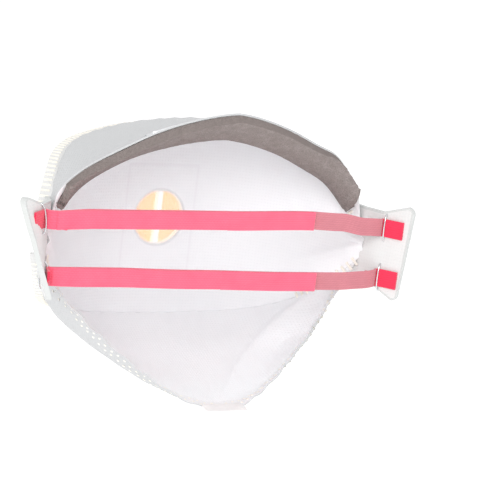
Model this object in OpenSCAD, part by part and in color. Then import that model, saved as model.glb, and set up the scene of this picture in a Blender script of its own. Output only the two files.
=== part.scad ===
// Fold-flat filtering half mask, opened as it is worn.
// X runs from tab to tab, the valve faces -Y, the wearer's face is at +Y and Z is up.
// The origin is the centre of the face opening, on the line between the headband staples.

/* [Body] */
// Half of the flat width, measured along the middle panel
half_arc = 110; // [106:1:116]
// Half width of the flat front that carries the valve
front_half = 13; // [10:1:16]
// Arc length at which each side stops bending and runs straight
bend_end = 63; // [58:1:68]
// Turn of each side wall from the front to the tab, in degrees
side_turn = 57; // [52:1:62]
// Arc length from the middle to the headband staples
staple_arc = 98; // [96:1:100]
// Half height of the middle panel at the front
front_half_h = 39.5; // [36:0.5:43]

/* [Face edge] */
// Height of the nose edge above the origin
nose_z = 51.5; // [49:0.5:56]
// Distance of the nose edge behind the staple line
nose_y = 2.5; // [0:0.5:5]
// Depth of the chin edge below the origin
chin_z = 55; // [52:0.5:58]
// Distance of the chin edge behind the staple line
chin_y = 17; // [14:0.5:20]
// Inward dip of the nose panel between its seam and its edge
nose_dip = 5; // [2:0.5:6]
// Outward swell of the chin panel
chin_swell = 4; // [2:0.5:6]

/* [Web] */
// Thickness of each spunbond cover web
web_t = 0.3; // [0.2:0.05:0.5]
// Thickness of the filter layer
filter_t = 1.4; // [1:0.1:2]
// Width of the welded seam fin
fin_w = 4.5; // [3:0.5:6]
// Thickness of the welded seam fin
fin_t = 1; // [0.8:0.1:1.2]

/* [Tabs and headbands] */
// Length of each side tab
tab_len = 21.5; // [18:0.5:22]
// Half height of the tab at its outer end
tab_half_h = 18.2; // [16:0.5:20]
// Width of the elastic headband
band_w = 7; // [6:0.5:8]
// Thickness of one layer of headband
band_t = 0.8; // [0.6:0.1:1]
// Height of each headband above or below the middle
band_z = 11.5; // [10.5:0.5:12]
// Length of the staple crown
staple_len = 12; // [11:0.5:12.5]

/* [Nose parts] */
// Width of the nose foam
foam_w = 12; // [9:0.5:13]
// Thickness of the nose foam
foam_t = 3.2; // [2.5:0.1:4]
// Width of the aluminium nose clip
clip_w = 5; // [4:0.5:6]

/* [Valve] */
// Width of the valve seat
seat_w = 31; // [29:1:33]
// Height of the valve seat
seat_h = 43; // [41:1:46]
// Radius of the round port
port_r = 11; // [10:0.5:11.5]
// Depth of the valve cover
cover_d = 10.5; // [10:0.5:12]

/* [Hidden] */
$fn = 48;

wall_t = 2 * web_t + filter_t;
bend_r = (bend_end - front_half) * 180 / (PI * side_turn);
tab_start = half_arc - tab_len;
seam_reach = 93;
seam_gap = 0.3;
body_gap = 0.3;
along_steps = 36;
across_steps = 6;
panel_reach = 80;
panel_steps = 32;
normal_reach = 55;
end_out = [0.4, -0.9, 0.2];
foam_reach = 74;
clip_reach = 30;
clip_t = 0.9;
edge_x = 67;
nose_end_z = 14.5;
nose_end_y = -9.5;
chin_end_z = 14.8;
chin_end_y = -10.5;
fold_x = 70;
fold_back_x = 42;
layer_gap = 0.3;
band_y = 0.8;
staple_wire = 0.35;
stub_end = 106;
seat_t = 1.2;
flap_top = 14;

// Turn of the wall at arc length a, in degrees
function turn_at(a) = side_turn * min(1, max(0, (a - front_half) / (bend_end - front_half)));

// Distance from the staple line to the front, which puts the staples at y = 0
front_y = -(bend_r * (1 - cos(side_turn)) + (staple_arc - bend_end) * sin(side_turn));

// Point of the middle panel's plan at signed arc length s, moved outwards by off
function plan(s, off = 0) =
    let (a = abs(s), t = turn_at(a), past = max(0, a - bend_end), side = s < 0 ? -1 : 1)
    [
        side * (min(a, front_half) + bend_r * sin(t) + past * cos(side_turn) + off * sin(t)),
        front_y + bend_r * (1 - cos(t)) + past * sin(side_turn) - off * cos(t)
    ];

// Half height of the middle panel at arc length s: a lens that closes inside the tabs
function lens(s) = front_half_h * (1 - pow(abs(s) / seam_reach, 3));

// The along-parameter runs from -90 to 90; its sine spreads the samples to the ends
along = [for (i = [0:along_steps]) -90 + 180 * i / along_steps];
panel_along = [for (i = [0:panel_steps]) panel_reach * (2 * i / panel_steps - 1)];
function share(a) = abs(sin(a));
function seam_point(a) =
    let (s = (tab_start - 0.5) * sin(a), p = plan(s)) [p.x, p.y, lens(s) + fin_t / 2 + seam_gap];
function nose_edge(a) =
    let (u = share(a))
    [
        edge_x * sin(a),
        nose_y + (nose_end_y - nose_y) * pow(u, 1.8),
        nose_end_z + (nose_z - nose_end_z) * pow(max(0, 1 - pow(u, 1.45)), 0.62)
    ];
function chin_edge(a) =
    let (u = share(a), rest = max(0, 1 - pow(u, 1.6)))
    [
        edge_x * sin(a),
        chin_end_y + (chin_y - chin_end_y) * pow(rest, 1.5),
        chin_end_z + (chin_z - chin_end_z) * pow(1 - pow(u, 2), 1.1)
    ];

// Point of a side panel between the seam (v = 0) and the face edge (v = 1), z kept positive
function panel_point(chin, a, v) =
    let (
        from = seam_point(a),
        to = chin ? chin_edge(a) : nose_edge(a),
        lift = (chin ? chin_swell : -nose_dip) * sin(180 * v) * (1 - pow(share(a), 2))
    )
    from + (to - from) * v + [0, -0.25 * lift, lift];

// Outward unit direction of a side panel; towards the tabs it eases into one direction
function panel_normal(chin, a, v) =
    let (
        near = max(-normal_reach, min(normal_reach, a)),
        v0 = max(0, v - 0.05), v1 = min(1, v + 0.05),
        n = cross(
            panel_point(chin, near + 2, v) - panel_point(chin, near - 2, v),
            panel_point(chin, near, v1) - panel_point(chin, near, v0)
        ),
        ease = max(0, min(1, (abs(a) - 45) / 30)),
        side = a < 0 ? -1 : 1,
        out = [side * end_out.x, end_out.y, end_out.z],
        mixed = n / norm(n) * (1 - ease) + out / norm(out) * ease
    )
    mixed / norm(mixed);

function panel_offset(chin, a, v, off) = panel_point(chin, a, v) + off * panel_normal(chin, a, v);

// Closed sheet between two grids of points that match row by row
module thick_sheet(inner, outer) {
    rows = len(inner);
    cols = len(inner[0]);
    count = rows * cols;
    points = [for (g = [inner, outer]) for (row = g) for (p = row) p];
    grid = [for (i = [0:rows - 2]) for (j = [0:cols - 2]) let (k = i * cols + j) each [
        [k, k + 1, k + cols + 1], [k, k + cols + 1, k + cols],
        [count + k, count + k + cols + 1, count + k + 1],
        [count + k, count + k + cols, count + k + cols + 1]
    ]];
    ends = [for (j = [0:cols - 2]) let (k = j, m = (rows - 1) * cols + j) each [
        [k, count + k, count + k + 1], [k, count + k + 1, k + 1],
        [m, count + m + 1, count + m], [m, m + 1, count + m + 1]
    ]];
    sides = [for (i = [0:rows - 2]) let (k = i * cols, m = i * cols + cols - 1) each [
        [k, k + cols, count + k + cols], [k, count + k + cols, count + k],
        [m, count + m + cols, m + cols], [m, count + m, count + m + cols]
    ]];
    polyhedron(points, concat(grid, ends, sides));
}

// One layer of the middle panel, from offset lo to offset hi
module centre_layer(lo, hi) {
    arcs = [for (a = along) (tab_start - 0.5) * sin(a)];
    thick_sheet(
        [for (s = arcs) let (p = plan(s, lo), h = lens(s) - fin_t / 2 - seam_gap)
            [[p.x, p.y, -h], [p.x, p.y, h]]],
        [for (s = arcs) let (p = plan(s, hi), h = lens(s) - fin_t / 2 - seam_gap)
            [[p.x, p.y, -h], [p.x, p.y, h]]]
    );
}

// Middle panel layer with the valve's round port cut through it; the inner web has no port
module ported_layer(lo, hi) {
    difference() {
        centre_layer(lo, hi);
        translate([0, front_y + 5, 0])
            rotate([90, 0, 0])
                cylinder(h = 20, r = port_r + 1.3);
    }
}

// One layer of the nose or chin panel, from offset lo to offset hi
module side_layer(chin, lo, hi) {
    mirror([0, 0, chin ? 1 : 0])
        thick_sheet(
            [for (a = panel_along) [for (j = [0:across_steps])
                panel_offset(chin, a, j / across_steps, lo)]],
            [for (a = panel_along) [for (j = [0:across_steps])
                panel_offset(chin, a, j / across_steps, hi)]]
        );
}

// Welded fin that stands out along one seam
module seam_fin() {
    reach = tab_start - 0.5;
    arcs = [for (a = along) reach * sin(a)];
    thick_sheet(
        [for (s = arcs) let (p = plan(s, 0), q = plan(s, wall_t + fin_w), z = lens(s) - fin_t / 2)
            [[p.x, p.y, z], [q.x, q.y, z]]],
        [for (s = arcs) let (p = plan(s, 0), q = plan(s, wall_t + fin_w), z = lens(s) + fin_t / 2)
            [[p.x, p.y, z], [q.x, q.y, z]]]
    );
}

// Strip that follows the nose edge: share of the edge, distance from the edge, offsets
module nose_strip(reach, from_edge, width, lo, hi) {
    steps = 30;
    angles = [for (i = [0:steps]) -reach + 2 * reach * i / steps];
    function run(a) = norm(nose_edge(a) - seam_point(a));
    function back(a, d) = 1 - min(d, 0.8 * run(a)) / run(a);
    function strip_point(a, d, off) =
        panel_point(false, a, back(a, d)) + off * panel_normal(false, a, 0.6);
    thick_sheet(
        [for (a = angles) [for (d = [from_edge + width, from_edge + width / 2, from_edge])
            strip_point(a, d, lo)]],
        [for (a = angles) [for (d = [from_edge + width, from_edge + width / 2, from_edge])
            strip_point(a, d, hi)]]
    );
}

// Moves children onto the inner face of the tab on one side, at arc length s and height z
module on_tab(side, s, z) {
    p = plan(s);
    mirror([side < 0 ? 1 : 0, 0, 0])
        translate([p.x, p.y, z])
            rotate([0, 0, side_turn])
                children();
}

module rounded_plate(w, h, r, t) {
    linear_extrude(t)
        union() {
            square([w - 2 * r, h], center = true);
            square([w, h - 2 * r], center = true);
            for (x = [-1, 1])
                for (y = [-1, 1])
                    translate([x * (w / 2 - r), y * (h / 2 - r)])
                        circle(r);
        }
}

module tab(side) {
    corner = 3;
    waist = 14.6;
    color("whitesmoke")
        on_tab(side, tab_start, 0)
            rotate([90, 0, 0])
                linear_extrude(wall_t)
                    union() {
                        polygon([
                            [0, -15], [8, -waist], [tab_len - corner, -tab_half_h],
                            [tab_len - corner, tab_half_h], [8, waist], [0, 15]
                        ]);
                        translate([tab_len - 2 * corner, corner - tab_half_h])
                            square([2 * corner, 2 * (tab_half_h - corner)]);
                        for (y = [-1, 1])
                            translate([tab_len - corner, y * (tab_half_h - corner)])
                                circle(corner);
                    }
}

// Band end that lies on the inner face of the tab, under its staple
module band_end(side, up) {
    color("crimson")
        on_tab(side, stub_end - 11, up * band_z)
            translate([0, 0.1, -band_w / 2])
                cube([11, band_t, band_w]);
}

// Wire staple: crown across the band, legs through the tab, points bent inwards
module staple(side, up) {
    leg = staple_len / 2 - staple_wire;
    crown_y = band_t + 0.2 + staple_wire;
    back_y = -wall_t - 0.05 - staple_wire;
    color("silver")
        on_tab(side, staple_arc, up * band_z) {
            translate([0, crown_y, -leg])
                cylinder(h = 2 * leg, r = staple_wire);
            for (e = [-1, 1]) {
                translate([0, crown_y, e * leg])
                    sphere(staple_wire);
                translate([0, crown_y, e * leg])
                    rotate([90, 0, 0])
                        cylinder(h = crown_y - back_y, r = staple_wire);
                translate([0, back_y, e * leg])
                    sphere(staple_wire);
                translate([0, back_y, e > 0 ? leg - 4.5 : -leg])
                    cylinder(h = 4.5, r = staple_wire);
            }
        }
}

// Free span of a headband: three layers folded back on themselves, then one layer
module band_span(up) {
    pitch = band_t + layer_gap;
    color("hotpink")
        translate([0, 0, up * band_z - band_w / 2])
            linear_extrude(band_w)
                union() {
                    translate([-fold_x - 2, band_y])
                        square([2 * fold_x + 2, band_t]);
                    translate([-fold_back_x, band_y + pitch])
                        square([fold_x + fold_back_x, band_t]);
                    translate([-fold_back_x, band_y + 2 * pitch])
                        square([fold_x + 2 + fold_back_x, band_t]);
                    translate([fold_x, band_y + pitch / 2 + band_t / 2])
                        fold_ring(1, pitch);
                    translate([-fold_back_x, band_y + 1.5 * pitch + band_t / 2])
                        fold_ring(-1, pitch);
                }
}

// Half ring that joins two layers of a folded band
module fold_ring(side, pitch) {
    mirror([side < 0 ? 1 : 0, 0])
        intersection() {
            difference() {
                circle((pitch + band_t) / 2);
                circle((pitch - band_t) / 2);
            }
            translate([0, -pitch])
                square([2 * pitch, 2 * pitch]);
        }
}

module centre_outer_web() { color("white") ported_layer(web_t + filter_t, wall_t); }
module centre_filter() { color("ghostwhite") ported_layer(web_t, web_t + filter_t); }
module centre_inner_web() { color("white") centre_layer(0, web_t); }
module nose_outer_web() { color("lightgray") side_layer(false, web_t + filter_t, wall_t); }
module nose_filter() { color("ghostwhite") side_layer(false, web_t, web_t + filter_t); }
module nose_inner_web() { color("white") side_layer(false, 0, web_t); }
module chin_outer_web() { color("lightgray") side_layer(true, web_t + filter_t, wall_t); }
module chin_filter() { color("ghostwhite") side_layer(true, web_t, web_t + filter_t); }
module chin_inner_web() { color("white") side_layer(true, 0, web_t); }
module upper_seam() { color("ivory") seam_fin(); }
module lower_seam() { color("ivory") mirror([0, 0, 1]) seam_fin(); }
module left_tab() { tab(1); }
module right_tab() { tab(-1); }

module nose_foam() {
    color("rosybrown")
        nose_strip(foam_reach, 0.2, foam_w, -body_gap - foam_t, -body_gap);
}

module nose_clip() {
    color("silver")
        nose_strip(clip_reach, 4, clip_w, wall_t + body_gap, wall_t + body_gap + clip_t);
}

// Pull tab at the middle of the chin edge
module chin_tab() {
    color("white")
        translate([0, chin_y + body_gap + 0.2, -chin_z])
            rotate([-13, 0, 0])
                translate([0, 3, -wall_t])
                    rounded_plate(18, 6, 1.5, wall_t);
}

// Moulded seat: flange on the outer web, collar through the port, upright bar across it
module valve_seat() {
    collar_t = 1.1;
    collar_l = filter_t + web_t - 0.1;
    bar_w = 2.2;
    color("white")
        translate([0, front_y - wall_t, 0])
            rotate([90, 0, 0])
                union() {
                    difference() {
                        rounded_plate(seat_w, seat_h, 3, seat_t);
                        translate([0, 0, -1])
                            cylinder(h = 4, r = port_r);
                    }
                    translate([0, 0, -collar_l])
                        difference() {
                            cylinder(h = collar_l + seat_t, r = port_r + collar_t);
                            translate([0, 0, -1])
                                cylinder(h = wall_t + 4, r = port_r);
                        }
                    translate([-bar_w / 2, -port_r - 0.5, -collar_l])
                        cube([bar_w, 2 * port_r + 1, collar_l + seat_t]);
                }
}

// Thin flap that covers the port and lifts away from it below its top edge
module valve_flap() {
    flap_w = 2 * port_r + 3;
    flap_h = 29;
    flap_t = 0.5;
    color("orange")
        translate([0, front_y - wall_t - seat_t - body_gap, flap_top - flap_h / 2])
            rotate([90, 0, 0])
                rounded_plate(flap_w, flap_h, 4, flap_t);
}

// Cover with slots on both sides that let the breath out, and a bar above the flap inside
module valve_cover() {
    cover_w = seat_w - 2;
    cover_h = seat_h - 2;
    wall = 1.2;
    roof = 1;
    slot_h = 3;
    slot_edge = 2.5;
    color("white")
        translate([0, front_y - wall_t - seat_t, 0])
            rotate([90, 0, 0])
                union() {
                    difference() {
                        rounded_plate(cover_w, cover_h, 4, cover_d);
                        translate([0, 0, -roof])
                            rounded_plate(cover_w - 2 * wall, cover_h - 2 * wall, 3, cover_d);
                        for (y = [-12:6:12])
                            translate([-cover_w, y - slot_h / 2, slot_edge])
                                cube([2 * cover_w, slot_h, cover_d - 2 * slot_edge]);
                    }
                    translate([-9, flap_top + 0.5, 1])
                        cube([18, 2, cover_d - roof - 0.5]);
                }
}

module upper_headband() { band_span(1); }
module lower_headband() { band_span(-1); }
module upper_band_left_end() { band_end(1, 1); }
module upper_band_right_end() { band_end(-1, 1); }
module lower_band_left_end() { band_end(1, -1); }
module lower_band_right_end() { band_end(-1, -1); }
module upper_left_staple() { staple(1, 1); }
module upper_right_staple() { staple(-1, 1); }
module lower_left_staple() { staple(1, -1); }
module lower_right_staple() { staple(-1, -1); }

centre_outer_web();
centre_filter();
centre_inner_web();
nose_outer_web();
nose_filter();
nose_inner_web();
chin_outer_web();
chin_filter();
chin_inner_web();
upper_seam();
lower_seam();
left_tab();
right_tab();
nose_foam();
nose_clip();
chin_tab();
valve_seat();
valve_flap();
valve_cover();
upper_headband();
upper_band_left_end();
upper_band_right_end();
lower_headband();
lower_band_left_end();
lower_band_right_end();
upper_left_staple();
upper_right_staple();
lower_left_staple();
lower_right_staple();
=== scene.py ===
# Fold-flat filtering half mask with an exhalation valve, opened as it is worn.
# Sizes are in metres. X runs from tab to tab, the valve faces -Y and Z is up.
from math import cos, exp, floor as whole, pi, radians, sin, sqrt

import bpy
from mathutils import Matrix, Vector, noise

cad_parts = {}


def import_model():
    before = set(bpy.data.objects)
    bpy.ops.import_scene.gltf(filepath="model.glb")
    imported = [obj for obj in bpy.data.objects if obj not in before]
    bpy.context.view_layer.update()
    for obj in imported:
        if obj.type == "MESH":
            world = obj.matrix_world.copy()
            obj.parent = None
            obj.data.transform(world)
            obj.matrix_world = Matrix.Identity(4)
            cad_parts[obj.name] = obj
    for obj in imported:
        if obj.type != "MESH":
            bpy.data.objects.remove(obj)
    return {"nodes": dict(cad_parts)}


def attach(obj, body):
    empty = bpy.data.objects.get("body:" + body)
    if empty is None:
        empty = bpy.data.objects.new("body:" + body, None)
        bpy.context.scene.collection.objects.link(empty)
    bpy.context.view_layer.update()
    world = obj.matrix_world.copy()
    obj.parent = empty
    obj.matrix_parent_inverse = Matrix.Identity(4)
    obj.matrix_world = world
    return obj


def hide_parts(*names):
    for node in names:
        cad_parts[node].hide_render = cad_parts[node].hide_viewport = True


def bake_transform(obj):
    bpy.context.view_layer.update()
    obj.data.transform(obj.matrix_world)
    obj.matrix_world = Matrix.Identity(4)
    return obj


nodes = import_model()["nodes"]
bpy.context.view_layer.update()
bpy.ops.object.select_all(action="DESELECT")


# ---- Finish helpers ----
# Short ways to build node trees: mixes, ranges, sums, textures and bumps. Every finish
# below is built from them.
def mixed(tree, amount, plain, changed):
    """A colour mix; plain and changed are colours or sockets, amount is a socket."""
    mix = tree.nodes.new("ShaderNodeMix")
    mix.data_type = "RGBA"
    tree.links.new(amount, mix.inputs["Factor"])
    for name, colour in (("A", plain), ("B", changed)):
        if isinstance(colour, tuple):
            mix.inputs[name].default_value = (*colour, 1)
        else:
            tree.links.new(colour, mix.inputs[name])
    return mix.outputs["Result"]


def ranged(tree, value, low, high, to_low=0.0, to_high=1.0):
    """A value spread from one range to another, held at its ends."""
    spread = tree.nodes.new("ShaderNodeMapRange")
    for name, number in (
        ("From Min", low), ("From Max", high), ("To Min", to_low), ("To Max", to_high),
    ):
        spread.inputs[name].default_value = number
    tree.links.new(value, spread.inputs["Value"])
    return spread.outputs["Result"]


def reckon(tree, operation, first, second=0.5):
    """One Math node; its operands are sockets or numbers."""
    sum_node = tree.nodes.new("ShaderNodeMath")
    sum_node.operation = operation
    for slot, value in enumerate((first, second)):
        if isinstance(value, (int, float)):
            sum_node.inputs[slot].default_value = value
        else:
            tree.links.new(value, sum_node.inputs[slot])
    return sum_node.outputs[0]


def new_finish(name, roughness, specular=0.3):
    """An empty material with its own shader numbers set."""
    finish = bpy.data.materials.new(name)
    finish.use_nodes = True
    shader = finish.node_tree.nodes["Principled BSDF"]
    shader.inputs["Roughness"].default_value = roughness
    shader.inputs["Specular IOR Level"].default_value = specular
    return finish, finish.node_tree, shader


def raise_bumps(tree, shader, height, depth, strength=1.0):
    """Feeds a height through a bump into the shader's normal; depth is in metres."""
    bump = tree.nodes.new("ShaderNodeBump")
    bump.inputs["Distance"].default_value = depth
    bump.inputs["Strength"].default_value = strength
    tree.links.new(height, bump.inputs["Height"])
    tree.links.new(bump.outputs["Normal"], shader.inputs["Normal"])


def textured(tree, kind, place, **numbers):
    """A texture node fed from a place socket, with input values such as Scale=3."""
    texture = tree.nodes.new("ShaderNodeTex" + kind)
    for name, number in numbers.items():
        texture.inputs[name].default_value = number
    if place:
        tree.links.new(place, texture.inputs["Vector"])
    return texture


def xyz_of(tree, place):
    """Splits a place socket into its X, Y and Z sockets."""
    parts = tree.nodes.new("ShaderNodeSeparateXYZ")
    tree.links.new(place, parts.inputs["Vector"])
    return parts.outputs


def on_object(tree):
    """Place on the piece itself, in metres."""
    return tree.nodes.new("ShaderNodeTexCoord").outputs["Object"]


def on_sheet(tree):
    """Place on the flat sheet, in decimetres."""
    return tree.nodes.new("ShaderNodeUVMap").outputs["UV"]


def off_valve_axis(tree, parts):
    """Distance from the valve's axis."""
    across = reckon(tree, "POWER", parts["X"], 2.0)
    up = reckon(tree, "POWER", parts["Z"], 2.0)
    return reckon(tree, "SQRT", reckon(tree, "ADD", across, up))


# ---- Studio ----
# A wide pale floor well below the mask, a white room round it, one large soft
# light behind the viewer's left shoulder and a weaker one on the right.
floor_drop = 0.30
view_bearing = radians(30.05)
view_height = radians(11.04)
view_distance = 0.8275
view_tilt = radians(7.14)
aim_right = 0.0113

world = bpy.data.worlds.new("white_room")
world.use_nodes = True
room = world.node_tree.nodes["Background"]
room.inputs["Color"].default_value = (1.0, 1.0, 1.0, 1)
seen_directly = world.node_tree.nodes.new("ShaderNodeLightPath")
room_light = ranged(world.node_tree, seen_directly.outputs["Is Camera Ray"], 0.0, 1.0, 0.86, 1.0)
world.node_tree.links.new(room_light, room.inputs["Strength"])
bpy.context.scene.world = world
bpy.context.scene.view_settings.view_transform = "Standard"

towards_viewer = Vector((
    sin(view_bearing) * cos(view_height),
    cos(view_bearing) * cos(view_height),
    sin(view_height),
))
eye = towards_viewer * view_distance
level_right = Vector((-cos(view_bearing), sin(view_bearing), 0))
forward = (level_right * aim_right - eye).normalized()
level_right = forward.cross(Vector((0, 0, 1))).normalized()
level_up = level_right.cross(forward)
tilted_right = level_right * cos(view_tilt) + level_up * sin(view_tilt)
tilted_up = level_up * cos(view_tilt) - level_right * sin(view_tilt)
bpy.ops.object.camera_add(location=eye)
camera = bpy.context.object
camera.name = "camera"
camera.rotation_euler = Matrix((tilted_right, tilted_up, -forward)).transposed().to_euler()
camera.data.lens = 155.9
camera.data.sensor_width = 36
bpy.context.scene.camera = camera


def softbox(name, away, width, power):
    """A square soft light at a place, turned towards the mask."""
    bpy.ops.object.light_add(type="AREA", location=away)
    lamp = bpy.context.object
    lamp.name = name
    lamp.data.size = width
    lamp.data.energy = power
    lamp.rotation_euler = Vector(away).to_track_quat("Z", "Y").to_euler()


softbox("key_softbox", (1.0, 1.35, 0.75), 0.9, 15)
softbox("side_softbox", (-1.3, 0.5, 0.9), 0.9, 2.5)
softbox("front_softbox", (0.5, -1.5, 1.0), 1.0, 1.5)

bpy.ops.mesh.primitive_plane_add(size=14, location=(0, 0, -floor_drop))
ground = bpy.context.object
ground.name = "floor"
paper, paper_tree, paper_shader = new_finish("floor_paper", 0.9, 0.1)
paper_grain = textured(paper_tree, "Noise", None, Scale=3)
paper_tree.links.new(
    mixed(paper_tree, paper_grain.outputs["Fac"], (0.97, 0.97, 0.97), (0.99, 0.99, 0.99)),
    paper_shader.inputs["Base Color"],
)
paper_shader.inputs["Emission Color"].default_value = (1.0, 1.0, 1.0, 1)
paper_shader.inputs["Emission Strength"].default_value = 0.22
ground.data.materials.append(paper)


# ---- Middle panel, inside cloth ----
# The thin spunbond polypropylene web next to the face. It is one stiff curved sheet,
# welded into the seams above and below, and it runs on over the valve's round port.
front_half = 0.013
bend_end = 0.063
side_turn = radians(57)
bend_radius = (bend_end - front_half) / side_turn
staple_arc = 0.098
tab_start = 0.0885
tab_end = 0.110
front_y = -(bend_radius * (1 - cos(side_turn)) + (staple_arc - bend_end) * sin(side_turn))
seam_half_height = 0.0395
seam_reach = 0.093
web = 0.0003
wall = 0.0020
port_radius = 0.011
seat_half_width = 0.0155
seat_half_height = 0.0215


def plan(arc, out=0.0):
    """Point of the middle wall in plan, at a signed arc length from the front, moved outwards."""
    side = -1 if arc < 0 else 1
    run = abs(arc)
    turn = side_turn * min(1, max(0, (run - front_half) / (bend_end - front_half)))
    past = max(0, run - bend_end)
    x = min(run, front_half) + bend_radius * sin(turn) + past * cos(side_turn) + out * sin(turn)
    y = front_y + bend_radius * (1 - cos(turn)) + past * sin(side_turn) - out * cos(turn)
    return side * x, y


def seam_height(arc, down=1):
    """Height of a seam above or below the middle at a signed arc length; the upper one sags at +X."""
    sag = 0.0043 * exp(-((arc - 0.034) / 0.028) ** 2) if down > 0 else 0
    return seam_half_height * (1 - (abs(arc) / seam_reach) ** 3) - sag


def pucker(arc, from_seam, depth=0.0002, pitch=0.0075):
    """Small waves that a welded seam draws into the cloth beside it."""
    wave = sin(2 * pi * arc / pitch + 2.5 * noise.noise(Vector((arc * 60, 0, 3))))
    return depth * wave * exp(-from_seam / 0.007)


def lay_cloth(name, steps_along, steps_up, place):
    """A grid primitive put where the cloth lies; place gives a point and its place on the flat sheet."""
    bpy.ops.mesh.primitive_grid_add(x_subdivisions=steps_along, y_subdivisions=steps_up, size=2)
    cloth = bpy.context.object
    cloth.name = name
    mesh = cloth.data
    flat = []
    for vertex in mesh.vertices:
        point, measured = place(vertex.co.x, vertex.co.y)
        vertex.co = point
        flat.append(measured)
    across = mesh.uv_layers.active.data
    for loop in mesh.loops:
        across[loop.index].uv = (flat[loop.vertex_index][0] * 10, flat[loop.vertex_index][1] * 10)
    return cloth


def thicken(cloth, thickness, rim_slot=0, back_slot=0, offset=-1, smooth=45):
    """Gives a sheet its thickness; an offset of -1 puts it behind its faces, 0 on both sides."""
    bpy.context.view_layer.objects.active = cloth
    shell = cloth.modifiers.new("thickness", "SOLIDIFY")
    shell.thickness = thickness
    shell.offset = offset
    shell.use_even_offset = False
    shell.material_offset = back_slot
    shell.material_offset_rim = rim_slot
    bpy.ops.object.modifier_apply(modifier=shell.name)
    if smooth:
        bpy.ops.object.shade_smooth_by_angle(angle=radians(smooth))


def face_towards(cloth, target):
    """Turns a single sheet's faces so that most of them look at a point."""
    mesh = cloth.data
    looking = sum(
        polygon.area * polygon.normal.dot(Vector(target) - polygon.center)
        for polygon in mesh.polygons
    )
    if looking < 0:
        mesh.flip_normals()


def gather(arc, z):
    """Two fold lines that spread from each tab, where the cloth is drawn together."""
    near_tab = max(0, min(1, (abs(arc) - 0.052) / 0.030))
    fold = exp(-((abs(z) - (tab_start + 0.001 - abs(arc)) * 0.42) / 0.0017) ** 2)
    return -0.0013 * fold * near_tab


def middle_place(out):
    """Where the points of the middle panel's sheet at one distance outwards lie."""
    def place(across, up):
        arc = (tab_start + 0.0010) * sin(across * pi / 2)
        half = seam_height(arc, up)
        z = up * half
        loose = pucker(arc, half - abs(z)) + 0.0006 * noise.noise(Vector((arc * 22, z * 30, 1)))
        near_port = exp(-((arc / 0.02) ** 2 + (z / 0.026) ** 2) ** 2)
        x, y = plan(arc, out + loose * (1 - near_port) + gather(arc, z))
        return Vector((x, y, z)), (arc, z)
    return place


def fibre_group():
    """Node group of the spunbond web: crossing fine fibres, and rows of small pressed bond points."""
    group = bpy.data.node_groups.new("spunbond_web", "ShaderNodeTree")
    group.interface.new_socket("Place", in_out="INPUT", socket_type="NodeSocketVector")
    for name in ("Fibres", "Bonds", "Clouds", "Height"):
        group.interface.new_socket(name, in_out="OUTPUT", socket_type="NodeSocketFloat")
    place = group.nodes.new("NodeGroupInput").outputs["Place"]
    end = group.nodes.new("NodeGroupOutput")
    strands = []
    for turn, thinness in ((0.5, 9.0), (-0.7, 12.0), (1.7, 10.0)):
        lie = group.nodes.new("ShaderNodeMapping")
        lie.inputs["Rotation"].default_value = (0, 0, turn)
        lie.inputs["Scale"].default_value = (1, thinness, 1)
        group.links.new(place, lie.inputs["Vector"])
        strand = textured(group, "Noise", lie.outputs["Vector"], Scale=26, Detail=3, Distortion=0.6)
        strands.append(strand.outputs["Fac"])
    crossed = reckon(group, "MAXIMUM", reckon(group, "MAXIMUM", strands[0], strands[1]), strands[2])
    fibres = ranged(group, crossed, 0.50, 0.74)
    points = textured(group, "Voronoi", place, Scale=78, Randomness=0.12)
    bonds = ranged(group, points.outputs["Distance"], 0.30, 0.18)
    clouds = textured(group, "Noise", place, Scale=5, Detail=5)
    group.links.new(fibres, end.inputs["Fibres"])
    group.links.new(bonds, end.inputs["Bonds"])
    group.links.new(clouds.outputs["Fac"], end.inputs["Clouds"])
    group.links.new(reckon(group, "SUBTRACT", fibres, bonds), end.inputs["Height"])
    return group


spunbond = fibre_group()


def web_finish(name, plain, shaded, bond, depth=0.00005, pressed_edge=None):
    """Spunbond cloth with fibres, bond points and soft clouding, and perhaps a pressed free edge."""
    finish, tree, shader = new_finish(name, 0.85, 0.25)
    shader.inputs["Sheen Weight"].default_value = 0.2
    shader.inputs["Sheen Roughness"].default_value = 0.5
    cloth = tree.nodes.new("ShaderNodeGroup")
    cloth.node_tree = spunbond
    tree.links.new(on_sheet(tree), cloth.inputs["Place"])
    clouded = mixed(tree, ranged(tree, cloth.outputs["Clouds"], 0.3, 0.75), plain, shaded)
    threaded = mixed(tree, reckon(tree, "MULTIPLY", cloth.outputs["Fibres"], 0.5), shaded, clouded)
    softened = mixed(tree, reckon(tree, "MULTIPLY", cloth.outputs["Clouds"], 1.2), threaded, clouded)
    pressed = mixed(tree, reckon(tree, "MULTIPLY", cloth.outputs["Bonds"], 0.45), softened, bond)
    if pressed_edge:
        from_edge = tree.nodes.new("ShaderNodeAttribute")
        from_edge.attribute_name = "to_free_edge"
        welded = ranged(tree, from_edge.outputs["Fac"], 0.0078, 0.0068, 0.0, 0.8)
        pressed = mixed(tree, welded, pressed, pressed_edge)
    tree.links.new(pressed, shader.inputs["Base Color"])
    raise_bumps(tree, shader, cloth.outputs["Height"], depth, 0.7)
    return finish, tree, shader, pressed


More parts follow.
